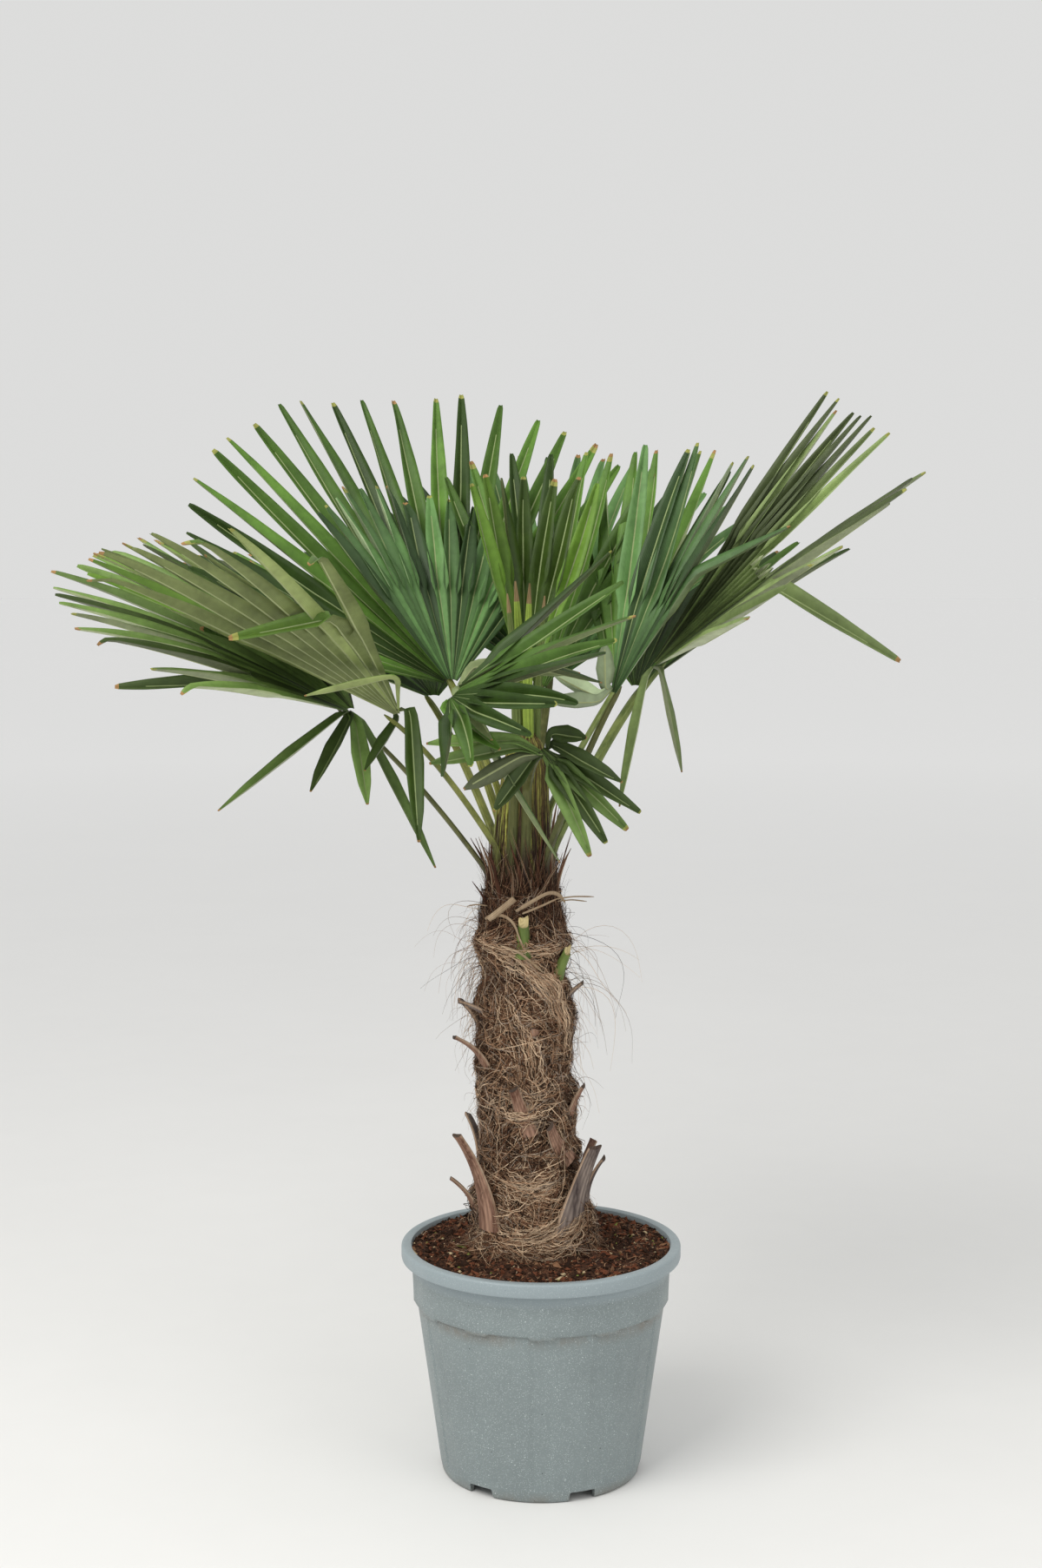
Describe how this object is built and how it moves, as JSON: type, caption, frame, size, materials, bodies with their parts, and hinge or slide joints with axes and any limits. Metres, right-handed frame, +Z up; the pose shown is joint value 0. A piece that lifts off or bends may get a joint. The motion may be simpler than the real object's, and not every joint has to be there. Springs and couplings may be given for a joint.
{
  "type": "potted windmill palm",
  "caption": "Young windmill palm with a short fibrous trunk and a crown of pleated fan leaves, standing in a fluted round nursery pot.",
  "frame": {"origin": "middle of the pot's foot, on the ground it stands on", "axes": "+Z up the trunk; -Y is the front, where the low arching fans come towards the viewer; +X is to the viewer's right"},
  "size_m": [1.0647, 0.9424, 1.3937],
  "materials": {
    "pot": "moulded speckled blue-grey plastic, matt, with dust in its corners",
    "soil": "damp fibrous compost with bark crumbs",
    "trunk": "tangled brown leaf-base fibre over wood",
    "crown_shaft": "ribbed, green and brown, wrapped leaf bases",
    "leaf_base": "dry sawn leaf bases, reddish brown with grey ends",
    "spear": "folded young leaves, yellow-green with dry tips",
    "stalk": "smooth green leaf stalk",
    "frond": "waxy deep green above, pale grey-green below, yellow-brown tips"
  },
  "bodies": {
    "root": {"pot": "pot", "soil": "soil", "trunk": "trunk", "crown_shaft": "crown_shaft", "leaf_base_01": "leaf_base", "leaf_base_02": "leaf_base", "leaf_base_03": "leaf_base", "leaf_base_04": "leaf_base", "leaf_base_05": "leaf_base", "leaf_base_06": "leaf_base", "leaf_base_07": "leaf_base", "leaf_base_08": "leaf_base", "leaf_base_09": "leaf_base", "leaf_base_10": "leaf_base", "leaf_base_11": "leaf_base", "leaf_base_12": "leaf_base", "leaf_base_13": "leaf_base", "leaf_base_14": "leaf_base", "leaf_base_15": "leaf_base", "leaf_base_16": "leaf_base", "leaf_base_17": "leaf_base", "leaf_base_18": "leaf_base", "leaf_base_19": "leaf_base", "spear_01": "spear", "spear_02": "spear", "spear_03": "spear", "spear_04": "spear", "stalk_back": "stalk", "stalk_back_left": "stalk", "stalk_back_right": "stalk", "stalk_front": "stalk", "stalk_front_left": "stalk", "stalk_front_low": "stalk", "stalk_front_right": "stalk", "stalk_inner_back": "stalk", "stalk_inner_left": "stalk", "stalk_left": "stalk", "stalk_right": "stalk", "stalk_upper_back": "stalk", "stalk_upper_left": "stalk", "stalk_upper_right": "stalk", "fan_back": "frond", "fan_back_left": "frond", "fan_back_right": "frond", "fan_front": "frond", "fan_front_left": "frond", "fan_front_low": "frond", "fan_front_right": "frond", "fan_inner_back": "frond", "fan_inner_left": "frond", "fan_left": "frond", "fan_right": "frond", "fan_upper_back": "frond", "fan_upper_left": "frond", "fan_upper_right": "frond"}
  },
  "joints": []
}
